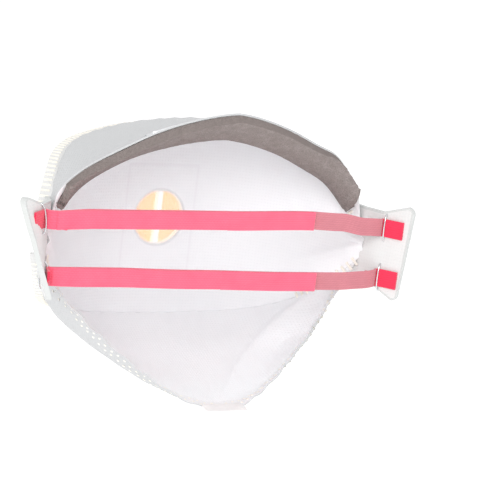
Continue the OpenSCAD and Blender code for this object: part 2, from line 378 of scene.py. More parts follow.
inside_tints = ((0.915, 0.93, 0.945), (0.87, 0.885, 0.905), (0.84, 0.855, 0.88))
# The outside web is the same white cloth as the inside; its grey tints are painted shade for the outer
# faces.
outside_tints_painted_shade = ((0.60, 0.607, 0.615), (0.55, 0.557, 0.567), (0.49, 0.497, 0.507))
inside_white, inside_tree, inside_shader, inside_colour = web_finish("inside_web_white", *inside_tints)
spot = xyz_of(inside_tree, on_object(inside_tree))
at_front = ranged(inside_tree, spot["Y"], -0.0515, -0.0505, 1.0, 0.0)
near_axis = ranged(inside_tree, off_valve_axis(inside_tree, spot), 0.0122, 0.0102)
over_port = reckon(inside_tree, "MULTIPLY", near_axis, at_front)
see_through = reckon(inside_tree, "MULTIPLY", over_port, 0.60)
inside_tree.links.new(
    reckon(inside_tree, "SUBTRACT", 1.0, see_through), inside_shader.inputs["Alpha"]
)
beside = reckon(
    inside_tree, "SUBTRACT", reckon(inside_tree, "ABSOLUTE", spot["X"]), seat_half_width
)
above = reckon(
    inside_tree, "SUBTRACT", reckon(inside_tree, "ABSOLUTE", spot["Z"]), seat_half_height
)
from_seat_edge = reckon(inside_tree, "ABSOLUTE", reckon(inside_tree, "MAXIMUM", beside, above))
seat_print = reckon(
    inside_tree, "MULTIPLY", ranged(inside_tree, from_seat_edge, 0.0009, 0.0002), at_front
)
inside_tree.links.new(
    mixed(inside_tree, reckon(inside_tree, "MULTIPLY", seat_print, 0.5),
          inside_colour, (0.83, 0.83, 0.86)),
    inside_shader.inputs["Base Color"],
)

middle_inside = lay_cloth("middle_panel_inside_web", 120, 40, middle_place(0.0))
face_towards(middle_inside, (0, 0.3, 0))
middle_inside.data.materials.append(inside_white)
thicken(middle_inside, web)
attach(middle_inside, "root")
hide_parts("centre_inner_web")


# ---- Middle panel, filter and outside cloth ----
# The thicker electret filter layer and the outside cover web, laid up together and cut
# with a round hole, where the valve's collar goes through.
# Painted shade: the outside web's finish is a greyer copy of the white cloth.
outside_grey_painted_shade, _, _, _ = web_finish("outside_web_grey_painted_shade", *outside_tints_painted_shade, depth=0.00008)
middle_outside = lay_cloth("middle_panel_filter_and_outside_web", 120, 40, middle_place(web))
face_towards(middle_outside, (0, 0.3, 0))
middle_outside.data.materials.append(inside_white)
middle_outside.data.materials.append(outside_grey_painted_shade)
thicken(middle_outside, wall - web, rim_slot=1, back_slot=1)
bpy.ops.mesh.primitive_cylinder_add(
    vertices=64, radius=port_radius + 0.0013, depth=0.02,
    location=(0, front_y, 0), rotation=(pi / 2, 0, 0),
)
punch = bpy.context.object
bpy.context.view_layer.objects.active = middle_outside
punched = middle_outside.modifiers.new("port", "BOOLEAN")
punched.object = punch
punched.operation = "DIFFERENCE"
bpy.ops.object.modifier_apply(modifier=punched.name)
bpy.data.objects.remove(punch)
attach(middle_outside, "root")
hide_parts("centre_outer_web", "centre_filter")


# ---- Nose panel ----
# Upper side panel of the same three-layer laminate. It is welded to the middle panel along
# the upper seam and stands up round the nose; its free edge carries the foam and the clip.
nose_top = (0.0025, 0.0515)
nose_end = (-0.0095, 0.0145)
chin_top = (0.017, 0.055)
chin_end = (-0.0105, 0.0148)
edge_half = 0.067
nose_dip = 0.0068
chin_swell = 0.004
panel_reach = radians(84)
end_out = Vector((0.4, -0.9, 0.2)).normalized()


def free_edge(chin, angle):
    """Point of the nose edge, or of the chin edge with its height kept positive."""
    u = abs(sin(angle))
    if chin:
        rest = max(0, 1 - u ** 1.6)
        y = chin_end[0] + (chin_top[0] - chin_end[0]) * rest ** 1.5
        z = chin_end[1] + (chin_top[1] - chin_end[1]) * (1 - u ** 2) ** 1.1
        z += 0.0048 * exp(-(sin(angle) / 0.45) ** 2)
    else:
        y = nose_top[0] + (nose_end[0] - nose_top[0]) * u ** 1.8
        z = nose_end[1] + (nose_top[1] - nose_end[1]) * max(0, 1 - u ** 1.45) ** 0.62
        z += 0.0024 * exp(-((sin(angle) + 0.76) / 0.13) ** 2)
        z -= 0.0012 * exp(-((sin(angle) - 0.70) / 0.20) ** 2)
    return Vector((edge_half * sin(angle), y, z))


def seam_edge(chin, angle):
    """Point of a side panel's seam, with its height kept positive."""
    arc = (tab_start - 0.0005) * sin(angle)
    x, y = plan(arc)
    return Vector((x, y, seam_height(arc, -1 if chin else 1)))


def panel_run(chin, angle):
    """Straight distance from a side panel's seam to its free edge."""
    return (free_edge(chin, angle) - seam_edge(chin, angle)).length


def panel_point(chin, angle, v):
    """Point of a side panel between its seam (v = 0) and its free edge (v = 1)."""
    low, high = seam_edge(chin, angle), free_edge(chin, angle)
    if chin:
        lift = chin_swell * sin(pi * v) * (1 - sin(angle) ** 2)
    else:
        lift = -(nose_dip - 0.003 * sin(angle)) * sin(pi * v ** 1.5) * (1 - sin(angle) ** 2) ** 0.6
    return low.lerp(high, v) + Vector((0, -0.25 * lift, lift))


def panel_out(chin, angle, v):
    """Outward direction of a side panel, easing into one direction beside the tabs."""
    near = max(radians(-55), min(radians(55), angle))
    step = radians(2)
    low, high = max(0, v - 0.05), min(1, v + 0.05)
    along = panel_point(chin, near + step, v) - panel_point(chin, near - step, v)
    up = panel_point(chin, near, high) - panel_point(chin, near, low)
    ease = max(0, min(1, (abs(angle) - radians(45)) / radians(30)))
    side = Vector((end_out.x * (-1 if angle < 0 else 1), end_out.y, end_out.z))
    return (along.cross(up).normalized() * (1 - ease) + side * ease).normalized()


def smooth_rise(value, low, high):
    """0 below low, 1 above high, and a smooth step between them."""
    t = max(0, min(1, (value - low) / (high - low)))
    return t * t * (3 - 2 * t)


def side_panel_place(chin, loose):
    """Where the points of a side panel's inner face lie, with its own soft folds."""
    down = -1 if chin else 1

    def place(across, up):
        angle, v = panel_reach * across, (up + 1) / 2
        run = panel_run(chin, angle)
        out = loose(sin(angle), v, run)
        point = panel_point(chin, angle, v) + panel_out(chin, angle, v) * out
        return Vector((point.x, point.y, down * point.z)), (tab_start * sin(angle), v * run)
    return place


def pressed_wall(distance, u):
    """Thickness of a side panel: pressed thin along its free edge and beside the tabs."""
    open_cloth = smooth_rise(distance, 0.001, 0.011) * smooth_rise(1 - abs(u), 0, 0.05)
    return wall * (0.3 + 0.7 * open_cloth)


def side_panel(name, chin, loose, finishes):
    """One side panel as a thick sheet, its outer face put where the outward direction points."""
    steps_along, steps_up = 110, 26
    panel = lay_cloth(name, steps_along, steps_up, side_panel_place(chin, loose))
    face_towards(panel, (0, 0.05, 0))
    for finish in finishes:
        panel.data.materials.append(finish)
    count = len(panel.data.vertices)
    thicken(panel, wall, rim_slot=1, back_slot=1)
    mesh = panel.data
    to_edge = mesh.attributes.new("to_free_edge", "FLOAT", "POINT")
    down = -1 if chin else 1
    for index in range(count):
        column, row = index % (steps_along + 1), index // (steps_along + 1)
        angle = panel_reach * (2 * column / steps_along - 1)
        v = row / steps_up
        distance = panel_run(chin, angle) * (1 - v)
        out = panel_out(chin, angle, v) * pressed_wall(distance, sin(angle))
        inner = mesh.vertices[index].co
        mesh.vertices[index + count].co = inner + Vector((out.x, out.y, down * out.z))
        to_edge.data[index].value = distance
        to_edge.data[index + count].value = distance
    return panel


edge_inside, _, _, _ = web_finish(
    "side_panel_inside_white", *inside_tints, pressed_edge=(0.83, 0.845, 0.86)
)
# Painted shade: the side panels' outer faces and pressed edges take the greyer outside tints.
edge_outside_painted_shade, _, _, _ = web_finish(
    "side_panel_outside_grey_painted_shade", *outside_tints_painted_shade, depth=0.00008, pressed_edge=(0.56, 0.567, 0.575)
)


def nose_loose(u, v, run):
    """Soft slack of the nose panel, which the foam holds smooth near the free edge."""
    slack = 0.0010 * noise.noise(Vector((u * 3.2, v * 2.2, 7)))
    return slack * smooth_rise(v, 0, 0.3) * smooth_rise(1 - v, 0.2, 0.6) - pucker(u * 0.088, v * run)


nose_panel = side_panel("nose_panel", False, nose_loose, (edge_inside, edge_outside_painted_shade))
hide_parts("nose_outer_web", "nose_filter", "nose_inner_web")
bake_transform(nose_panel)


# ---- Chin panel ----
# Lower side panel of the same laminate, welded along the lower seam. It hangs in soft lobes
# beside the chin, and its free edge is pressed flat with two rows of weld points.
def chin_loose(u, v, run):
    """Slack of the chin panel: soft lobes on the right, a fold line from the seam to the chin tab."""
    x, depth = u * edge_half, v * 0.060
    start, end = Vector((-0.052, 0.006)), Vector((-0.006, 0.050))
    along = (end - start).normalized()
    spot = Vector((x, depth)) - start
    travelled = spot.dot(along)
    beside = along.x * spot.y - along.y * spot.x
    on_line = smooth_rise(travelled, -0.006, 0.012) * smooth_rise(0.075 - travelled, 0, 0.02)
    lobe = 0.0030 * smooth_rise(beside, 0, 0.012) * smooth_rise(0.05 - beside, 0, 0.03)
    valley = -0.0012 * exp(-(beside / 0.0022) ** 2)
    slack = 0.0012 * noise.noise(Vector((u * 3.0, v * 2.4, 11)))
    held = smooth_rise(v, 0, 0.12) * smooth_rise(1 - v, 0, 0.12)
    return (on_line * (lobe + valley) + slack) * held \
        - pucker(u * 0.088, v * run) - 2.0 * pucker(u * 0.07, (1 - v) * run, pitch=0.009)


chin_panel = side_panel("chin_panel", True, chin_loose, (edge_inside, edge_outside_painted_shade))
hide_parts("chin_outer_web", "chin_filter", "chin_inner_web")
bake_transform(chin_panel)


# ---- Seams ----
# Ultrasonic weld fins that stand out where the middle panel meets the nose and chin panels.
# Each is all the layers pressed to a stiff 1 mm strip, with a row of raised cross bars.
welded_white, _, welded_shader, _ = web_finish(
    "welded_white", (0.76, 0.758, 0.75), (0.715, 0.715, 0.71), (0.67, 0.67, 0.67), depth=0.00006
)
welded_shader.inputs["Roughness"].default_value = 0.55
bar_finish, bar_tree, bar_shader = new_finish("weld_bar_ivory", 0.45, 0.4)
bar_cloud = textured(bar_tree, "Noise", on_object(bar_tree), Scale=900)
bar_tree.links.new(
    mixed(bar_tree, ranged(bar_tree, bar_cloud.outputs["Fac"], 0.35, 0.7),
          (0.91, 0.875, 0.79), (0.85, 0.815, 0.735)),
    bar_shader.inputs["Base Color"],
)
raise_bumps(bar_tree, bar_shader, bar_cloud.outputs["Fac"], 0.00008, 0.6)
fin_reach = wall + 0.0045
fin_half = 0.0005


def fin_wave(arc, share):
    """How far the fin's outer edge strays from its flat line."""
    return share * 0.0006 * noise.noise(Vector((arc * 70, 5, 2)))


def fin_place(down):
    """Where a seam fin's middle sheet lies."""
    def place(across, up):
        arc = (tab_start - 0.0005) * sin(across * pi / 2)
        share = (up + 1) / 2
        x, y = plan(arc, 0.0013 + (fin_reach - 0.0018) * share)
        z = down * (seam_height(arc, down) + fin_wave(arc, share))
        return Vector((x, y, z)), (arc, share * 0.006)
    return place


def pick(*pieces):
    """Selects only these pieces and makes the first one active."""
    bpy.ops.object.select_all(action="DESELECT")
    for piece in pieces:
        piece.select_set(True)
    bpy.context.view_layer.objects.active = pieces[0]


def stamp(name, places, pattern, finish, body=None):
    """Copies one small pattern to many places and joins them to one piece."""
    copies = []
    for place in places:
        one = pattern.copy()
        one.data = pattern.data.copy()
        one.data.transform(place)
        bpy.context.collection.objects.link(one)
        copies.append(one)
    pick(*copies)
    bpy.ops.object.join()
    joined = bpy.context.object
    joined.name = name
    joined.data.materials.clear()
    joined.data.materials.append(finish)
    if body:
        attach(joined, body)
    return joined


def small_bar(length, width, height):
    """A weld bar: a block along Y whose top face is drawn in."""
    bpy.ops.mesh.primitive_cube_add(size=1)
    bar = bpy.context.object
    bar.data.transform(Matrix.Diagonal((width, length, height, 1)))
    for corner in bar.data.vertices:
        if corner.co.z > 0:
            corner.co.x *= 0.55
            corner.co.y *= 0.85
    return bar


bar_pitch = 0.0021
bar_mould = small_bar(0.0038, 0.0012, 0.0005)


def frame_at(centre, x_axis, y_axis, z_axis):
    """Placement matrix with its three axes and its origin."""
    return Matrix.Translation(centre) @ Matrix((x_axis, y_axis, z_axis)).transposed().to_4x4()


def along_seam(arc, out, down):
    """Direction of a seam at an arc length."""
    ahead = Vector(plan(arc + 0.001, out)) - Vector(plan(arc - 0.001, out))
    rise = seam_height(arc + 0.001, down) - seam_height(arc - 0.001, down)
    return Vector((ahead.x, ahead.y, down * rise)).normalized()


def fin_frame(arc, out, down, over):
    """Frame on the fin's face: X along the seam, Y outwards, Z away from the fin."""
    x, y = plan(arc, out)
    along = along_seam(arc, out, down)
    outward = Vector((along.y, -along.x, 0)).normalized()
    away = along.cross(outward) * over
    height = down * (seam_height(arc, down) + fin_wave(arc, out / fin_reach))
    centre = Vector((x, y, height)) + away * fin_half
    if over < 0:
        outward = -outward
    return frame_at(centre, along, -outward, away)


for down, label in ((1, "upper"), (-1, "lower")):
    fin = lay_cloth(label + "_seam_fin", 120, 5, fin_place(down))
    face_towards(fin, (0, 0, 0))
    fin.data.materials.append(welded_white)
    thicken(fin, 2 * fin_half, offset=0)
    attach(fin, "root")
    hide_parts(label + "_seam")
    count = whole((tab_start - 0.004) / bar_pitch)
    places = [
        fin_frame(i * bar_pitch, wall + 0.0022, down, over)
        for i in range(-count, count + 1) for over in (1, -1)
    ]
    stamp(label + "_seam_weld_bars", places, bar_mould, bar_finish, "root")


# ---- Weld points ----
# Two rows of small pressed diamonds close the layers along the chin edge, on both faces, and
# one row runs along the nose edge. Short bars mark the seams' ends on the inside.
bpy.ops.mesh.primitive_cone_add(vertices=4, radius1=0.0008, radius2=0.0004, depth=0.0003)
diamond_mould = bpy.context.object
diamond_mould.data.transform(Matrix.Diagonal((1.0, 1.25, 1.0, 1)))
weld_pitch = 0.0031
weld_reach = radians(74)


def along_edge(chin, steps=400):
    """Angles of points spaced one weld pitch apart along a free edge."""
    angles = [panel_reach * (2 * i / steps - 1) for i in range(steps + 1)]
    travelled = [0.0]
    for first, second in zip(angles, angles[1:]):
        travelled.append(travelled[-1] + (free_edge(chin, second) - free_edge(chin, first)).length)
    found, index = [], 0
    for step in range(int(travelled[-1] / weld_pitch)):
        while travelled[index] < (step + 0.5) * weld_pitch:
            index += 1
        found.append(angles[index])
    return [angle for angle in found if abs(angle) < weld_reach]


def panel_frame(chin, angle, from_edge, loose, outside):
    """Frame on a side panel's inner or outer face: X along the edge, Z away from the cloth."""
    run = panel_run(chin, angle)
    v = max(0.02, 1 - from_edge / run)
    outward = panel_out(chin, angle, v)
    out = pressed_wall(from_edge, sin(angle)) if outside else 0
    centre = panel_point(chin, angle, v) + outward * (loose(sin(angle), v, run) + out)
    step = radians(1)
    along = (panel_point(chin, angle + step, v) - panel_point(chin, angle - step, v)).normalized()
    away = outward if outside else -outward
    down = -1 if chin else 1
    centre, along, away = (Vector((p.x, p.y, down * p.z)) for p in (centre, along, away))
    away = (away - along * away.dot(along)).normalized()
    return frame_at(centre, along, away.cross(along), away)


chin_points = [
    panel_frame(True, angle, 0.0022 + row * 0.0032, chin_loose, outside)
    for angle in along_edge(True) for row in (0, 1) for outside in (False, True)
]
chin_welds = stamp("chin_edge_weld_points", chin_points, diamond_mould, bar_finish)
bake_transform(chin_welds)
nose_points = [panel_frame(False, angle, 0.0020, nose_loose, True) for angle in along_edge(False)]
nose_welds = stamp("nose_edge_weld_points", nose_points, diamond_mould, bar_finish)
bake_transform(nose_welds)
inner_bars = []
for down in (1, -1):
    for step in range(12):
        for side in (1, -1):
            arc = side * (0.0868 - step * bar_pitch)
            x, y = plan(arc, -0.0005)
            along = along_seam(arc, 0.0, down)
            inward = Vector((-along.y, along.x, 0)).normalized()
            centre = Vector((x, y, down * (seam_height(arc, down) + 0.0003)))
            inner_bars.append(frame_at(centre, along, inward.cross(along), inward))
stamp("seam_end_weld_bars", inner_bars, bar_mould, bar_finish, "root")


# ---- Side tabs ----
# Flat ends where all the layers are welded together; the headbands are stapled through them.
# Each tab narrows to a waist, widens to its rounded outer end and has a greyer pressed rim all round.
tab_length = tab_end - tab_start
tab_corner = 0.003
tab_lap = 0.0050
tab_steps_along = 40
tab_steps_up = 44
left_twist = 0.0045


def tab_half_height(run):
    """Half height of a tab at a distance from its inner end, with its rounded outer corners."""
    if run < 0.008:
        half = 0.015 - 0.0004 * run / 0.008
    else:
        half = 0.0146 + 0.0036 * min(1, (run - 0.008) / (tab_length - tab_corner - 0.008))
    into_corner = max(0, run - (tab_length - tab_corner))
    return half - tab_corner + sqrt(max(0, tab_corner ** 2 - into_corner ** 2))


def tab_point(side, arc, inward, z):
    """Point beside a tab's inner face; the left tab is twisted a little."""
    reach = max(0, arc - tab_start) / tab_length
    twist = left_twist * z / 0.0115 * reach ** 1.2 if side > 0 else 0.0
    x, y = plan(side * arc, twist - inward)
    return Vector((x, y, z))


def tab_place(side, out=0.0):
    """Where a tab's points lie; its inner end reaches behind the panels that it is welded to."""
    def place(across, up):
        run = (tab_length + tab_lap) * sin((across + 1) / 2 * pi / 2) - tab_lap
        share = max(0, run) / tab_length
        z = up * tab_half_height(run)
        behind = 0.0012 * smooth_rise(-run, 0, 0.003)
        wave = 0.0003 * noise.noise(Vector((run * 150, up * 2, 9 + side)))
        cut_back = 0.0
        if side < 0:
            cut_back = (0.0006 + 0.0026 * (1 - up) / 2) * share
            z -= 0.0022 * share * (1 - up) / 2
        return tab_point(side, tab_start + run - cut_back, wave - behind - out, z), (run, z)
    return place


tab_white, _, tab_shader, _ = web_finish(
    "tab_welded_white", (0.735, 0.735, 0.73), (0.70, 0.70, 0.695), (0.67, 0.67, 0.67),
    depth=0.00006, pressed_edge=(0.57, 0.59, 0.58),
)
tab_shader.inputs["Roughness"].default_value = 0.6
for side, label in ((1, "left"), (-1, "right")):
    tab = lay_cloth(label + "_tab", tab_steps_along, tab_steps_up, tab_place(side))
    face_towards(tab, (0, 0.2, 0))
    tab.data.materials.append(tab_white)
    count = len(tab.data.vertices)
    thicken(tab, wall)
    outer_face = tab_place(side, wall)
    rim = tab.data.attributes.new("to_free_edge", "FLOAT", "POINT")
    for index in range(count):
        across = 2 * (index % (tab_steps_along + 1)) / tab_steps_along - 1
        up = 2 * (index // (tab_steps_along + 1)) / tab_steps_up - 1
        point, (run, z) = outer_face(across, up)
        tab.data.vertices[index + count].co = point
        from_rim = 8 * min(tab_half_height(run) * (1 - abs(up)), tab_length - run)
        rim.data[index].value = from_rim
        rim.data[index + count].value = from_rim
    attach(tab, "root")
    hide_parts(label + "_tab")


# ---- Nose foam ----
# Soft grey-brown open-cell foam strip, glued to the inside of the nose edge. A narrow band
# along its outer edge is painted darker, a painted shade for the foam's edge face.
foam_reach = {1: radians(72), -1: radians(69)}
foam_width = 0.012
foam_thick = 0.0032
foam_gap = 0.0003


def foam_place(across, up):
    """Where the foam strip's glued face lies, just inside the nose panel."""
    angle = foam_reach[1 if across > 0 else -1] * across
    run = panel_run(False, angle)
    distance = 0.0002 + foam_width * (1 - up) / 2
    v = 1 - min(distance, 0.8 * run) / run
    ripple = 0.00012 * noise.noise(Vector((across * 40, up * 3, 4)))
    out = panel_out(False, angle, 0.85) * (-foam_gap + ripple)
    return panel_point(False, angle, v) + out, (angle * 0.07, distance)


foam_grey, foam_tree, foam_shader = new_finish("nose_foam_grey", 0.95, 0.15)
foam_spot = on_object(foam_tree)
pores = textured(foam_tree, "Voronoi", foam_spot, Scale=2100)
grain = textured(foam_tree, "Noise", foam_spot, Scale=420, Detail=6)
open_cell = ranged(foam_tree, pores.outputs["Distance"], 0.15, 0.55)
foam_shade = mixed(
    foam_tree, ranged(foam_tree, grain.outputs["Fac"], 0.3, 0.72),
    (0.325, 0.285, 0.272), (0.25, 0.215, 0.205),
)
foam_sheet = xyz_of(foam_tree, on_sheet(foam_tree))
# Painted shade: a darker band along the foam's outer edge.
painted_edge_shade = ranged(foam_tree, foam_sheet["Y"], 0.0040, 0.0030, 0.0, 0.75)
foam_shade = mixed(foam_tree, painted_edge_shade, foam_shade, (0.21, 0.178, 0.168))
# Painted shade: the pores take a darker colour than the foam round them.
foam_tree.links.new(
    mixed(foam_tree, open_cell, (0.21, 0.18, 0.17), foam_shade), foam_shader.inputs["Base Color"]
)
foam_height = reckon(foam_tree, "ADD", open_cell, grain.outputs["Fac"])
raise_bumps(foam_tree, foam_shader, foam_height, 0.0002, 0.8)
foam = lay_cloth("nose_foam_strip", 120, 12, foam_place)
face_towards(foam, (0, 0, 0.5))
foam.data.materials.append(foam_grey)
thicken(foam, foam_thick, smooth=None)
rounding = foam.modifiers.new("soft_edges", "BEVEL")
rounding.width = 0.0006
rounding.segments = 3
rounding.limit_method = "ANGLE"
rounding.angle_limit = radians(50)
bpy.ops.object.modifier_apply(modifier=rounding.name)
bpy.ops.object.shade_smooth_by_angle(angle=radians(60))
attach(foam, "nose_edge")
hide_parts("nose_foam")


# ---- Nose clip ----
# Soft aluminium strip on the outside of the nose edge, which keeps the bend it is
# pressed to. Its surface is brushed lengthwise.
aluminium, clip_tree, clip_shader = new_finish("brushed_aluminium", 0.38, 0.5)
clip_shader.inputs["Metallic"].default_value = 1.0
clip_shader.inputs["Anisotropic"].default_value = 0.4
brush_lie = clip_tree.nodes.new("ShaderNodeMapping")
brush_lie.inputs["Scale"].default_value = (60, 900, 900)
clip_tree.links.new(on_object(clip_tree), brush_lie.inputs["Vector"])
brushing = textured(clip_tree, "Noise", brush_lie.outputs["Vector"], Scale=4, Detail=4)
clip_tree.links.new(
    mixed(clip_tree, brushing.outputs["Fac"], (0.80, 0.81, 0.82), (0.62, 0.63, 0.65)),
    clip_shader.inputs["Base Color"],
)
clip_tree.links.new(
    ranged(clip_tree, brushing.outputs["Fac"], 0.3, 0.7, 0.28, 0.5), clip_shader.inputs["Roughness"]
)
raise_bumps(clip_tree, clip_shader, brushing.outputs["Fac"], 0.00003, 0.5)
clip_reach = radians(28)
clip_width = 0.005
clip_thick = 0.0009
clip_middle = 0.0065


def clip_place(across, up):
    """Where the clip's inner face lies, just outside the nose panel; its ends are rounded."""
    angle = clip_reach * across
    run = panel_run(False, angle)
    to_end = (1 - abs(across)) * 0.05
    half = 0.5 * clip_width * (sqrt(1 - (1 - min(1, to_end / 0.0025)) ** 2) * 0.85 + 0.15)
    distance = clip_middle - up * half
    out = panel_out(False, angle, 0.85) * (pressed_wall(distance, sin(angle)) + 0.0004)
    return panel_point(False, angle, 1 - distance / run) + out, (angle * 0.07, distance)


clip = lay_cloth("nose_clip_strip", 120, 6, clip_place)
face_towards(clip, (0, 0, 0.3))
clip.data.materials.append(aluminium)
thicken(clip, clip_thick, offset=1)
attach(clip, "nose_edge")
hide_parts("nose_clip")


# ---- Chin tab ----
# Short pull tab of welded laminate at the middle of the chin edge. It sits behind the
# pressed edge, where a finger and thumb take it.
def softened_copy(node, name, width, segments=3, angle=40):
    """A CAD node's own shape with its doubles merged and its edges rounded."""
    piece = nodes[node].copy()
    piece.data = nodes[node].data.copy()
    piece.name = name
    for key in list(piece.keys()):
        del piece[key]
    piece.parent = None
    bpy.context.collection.objects.link(piece)
    pick(piece)
    bpy.ops.object.mode_set(mode="EDIT")
    bpy.ops.mesh.select_all(action="SELECT")
    bpy.ops.mesh.remove_doubles(threshold=0.000005)
    bpy.ops.mesh.dissolve_limited(angle_limit=radians(1))
    bpy.ops.object.mode_set(mode="OBJECT")
    eased = piece.modifiers.new("eased_edges", "BEVEL")
    eased.width = width
    eased.segments = segments
    eased.limit_method = "ANGLE"
    eased.angle_limit = radians(angle)
    bpy.ops.object.modifier_apply(modifier=eased.name)
    piece.data.materials.clear()
    bpy.ops.object.shade_smooth_by_angle(angle=radians(35))
    return piece


def pattern_on_object(name, plain, shaded, roughness, scale, depth):
    """Welded or moulded finish that needs no flat size: soft mottle and a fine grain."""
    finish, tree, shader = new_finish(name, roughness, 0.4)
    mottle = textured(tree, "Noise", on_object(tree), Scale=scale, Detail=5)
    fine = textured(tree, "Noise", on_object(tree), Scale=scale * 14)
    tree.links.new(
        mixed(tree, ranged(tree, mottle.outputs["Fac"], 0.35, 0.7), plain, shaded),
        shader.inputs["Base Color"],
    )
    tree.links.new(
        ranged(tree, mottle.outputs["Fac"], 0.3, 0.7, roughness - 0.06, roughness + 0.08),
        shader.inputs["Roughness"],
    )
    raise_bumps(tree, shader, fine.outputs["Fac"], depth, 0.5)
    return finish, tree, shader


tab_weld, _, _ = pattern_on_object(
    "chin_tab_weld", (0.84, 0.838, 0.83), (0.78, 0.78, 0.78), 0.5, 260, 0.00008
)
chin_pull = softened_copy("chin_tab", "chin_pull_tab", 0.0005)
chin_pull.data.transform(Matrix.Translation((0, -0.0022, -0.0028)))
chin_pull.data.materials.append(tab_weld)
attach(chin_pull, "chin_edge")
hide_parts("chin_tab")


# ---- Valve ----
# Injection-moulded white seat that is welded to the outside web, a thin orange rubber
# flap held at its top edge, and a snapped-on white cover with slots on both sides.
valve_white, valve_tree, valve_shader = pattern_on_object(
    "valve_moulded_white", (0.90, 0.90, 0.89), (0.85, 0.85, 0.85), 0.36, 70, 0.00002
)
valve_shader.inputs["Coat Weight"].default_value = 0.12
valve_shader.inputs["Coat Roughness"].default_value = 0.3
flap_orange, flap_tree, flap_shader = pattern_on_object(
    "flap_rubber_orange", (0.93, 0.46, 0.06), (0.86, 0.40, 0.045), 0.5, 110, 0.00003
)


def lit_through_port(tree, shader, colour, strength):
    """The light that the thin mouldings let through at the port."""
    parts = xyz_of(tree, on_object(tree))
    inside = ranged(tree, off_valve_axis(tree, parts), 0.0118, 0.0108)
    behind = ranged(tree, parts["Y"], -0.0568, -0.0564)
    glow = reckon(tree, "MULTIPLY", inside, behind)
    tree.links.new(mixed(tree, glow, (0.0, 0.0, 0.0), colour), shader.inputs["Emission Color"])
    shader.inputs["Emission Strength"].default_value = strength


lit_through_port(valve_tree, valve_shader, (1.0, 0.98, 0.92), 0.62)
lit_through_port(flap_tree, flap_shader, (1.0, 0.50, 0.02), 0.72)
for node, name, width, finish, slot_name, body in (
    ("valve_seat", "valve_seat_moulding", 0.00025, valve_white, "valve_plastic", "root"),
    ("valve_flap", "valve_flap_rubber", 0.00012, flap_orange, "flap_rubber", "flap"),
    ("valve_cover", "valve_cover_moulding", 0.0004, valve_white, "valve_plastic", "root"),
):
    piece = softened_copy(node, name, width)
    piece.data.materials.append(finish)
    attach(piece, body)
    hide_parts(node)


# ---- Headbands ----
# Two flat braided elastics, one above the other. Each is stapled inside both tabs and folded
# back on itself twice, so that it lies in three layers over most of the opening.
band_height = 0.0115
band_width = 0.007
band_thick = 0.0008
layer_pitch = 0.0011
first_layer_y = 0.0012
left_fold_x = 0.070
right_fold_x = {1: -0.038, -1: -0.042}
band_end_arc = 0.106


def elastic(name, plain, shaded, gap):
    """Braided elastic: lengthwise ribs, fine crosswise threads and slight unevenness; the gap colour is
    painted shade in the rib grooves and between the threads.
    """
    finish, tree, shader = new_finish(name, 0.72, 0.25)
    shader.inputs["Sheen Weight"].default_value = 0.3
    flat = on_sheet(tree)
    ribs = textured(tree, "Wave", flat, Scale=36)
    ribs.bands_direction = "Y"
    threads = textured(tree, "Wave", flat, Scale=45, Distortion=0.8)
    threads.bands_direction = "DIAGONAL"
    uneven = textured(tree, "Noise", flat, Scale=14, Detail=5)
    worn = mixed(tree, ranged(tree, uneven.outputs["Fac"], 0.3, 0.72), plain, shaded)
    painted_groove_shade = reckon(tree, "MULTIPLY", reckon(tree, "SUBTRACT", 1.0, ribs.outputs["Fac"]), 0.28)
    ribbed = mixed(tree, painted_groove_shade, worn, gap)
    crossed = mixed(tree, reckon(tree, "MULTIPLY", threads.outputs["Fac"], 0.14), ribbed, gap)
    tree.links.new(crossed, shader.inputs["Base Color"])
    height = reckon(
        tree, "ADD", ribs.outputs["Fac"], reckon(tree, "MULTIPLY", threads.outputs["Fac"], 0.4)
    )
    raise_bumps(tree, shader, height, 0.00012, 0.8)
    return finish


bright_pink = elastic(
    "elastic_bright_pink", (0.95, 0.155, 0.245), (0.90, 0.13, 0.215), (0.74, 0.085, 0.155)
)
# Painted shade: the single layer is the same elastic as the rest, given a darker, duller copy of its
# pink.
single_layer_painted_shade_pink = elastic(
    "elastic_single_pink_painted_shade", (0.64, 0.225, 0.262), (0.58, 0.20, 0.235), (0.44, 0.145, 0.18)
)
end_red = elastic("elastic_end_red", (0.88, 0.038, 0.10), (0.80, 0.030, 0.085), (0.58, 0.016, 0.05))


upper_line = ((0.075, -0.0022), (0.055, -0.0012), (0.0, -0.0009), (-0.035, -0.0003),
              (-0.052, -0.0009), (-0.064, -0.0026), (-0.076, -0.0031))
lower_line = ((0.075, -0.0001), (0.050, -0.0002), (0.010, -0.0010), (-0.030, -0.0016),
              (-0.054, -0.0017), (-0.066, -0.0012), (-0.076, -0.0003))


def band_middle(x, up):
    """Height of a band's middle line: it hangs a little below the line between its staples."""
    line = upper_line if up > 0 else lower_line
    for (x_from, low), (x_to, high) in zip(line, line[1:]):
        if x >= x_to:
            share = smooth_rise(x_from - max(min(x, x_from), x_to), 0, x_from - x_to)
            return up * band_height + low + (high - low) * share
    return up * band_height + line[-1][1]


def smooth_path(corners, steps=10):
    """A rounded path in plan through corner points, by a curve through each pair of midpoints."""
    path = [corners[0]]
    for before, corner, after in zip(corners, corners[1:], corners[2:]):
        first, last = (before + corner) / 2, (corner + after) / 2
        for step in range(steps + 1):
            t = step / steps
            path.append(first * (1 - t) ** 2 + corner * 2 * t * (1 - t) + last * t ** 2)
    path.append(corners[-1])
    return path


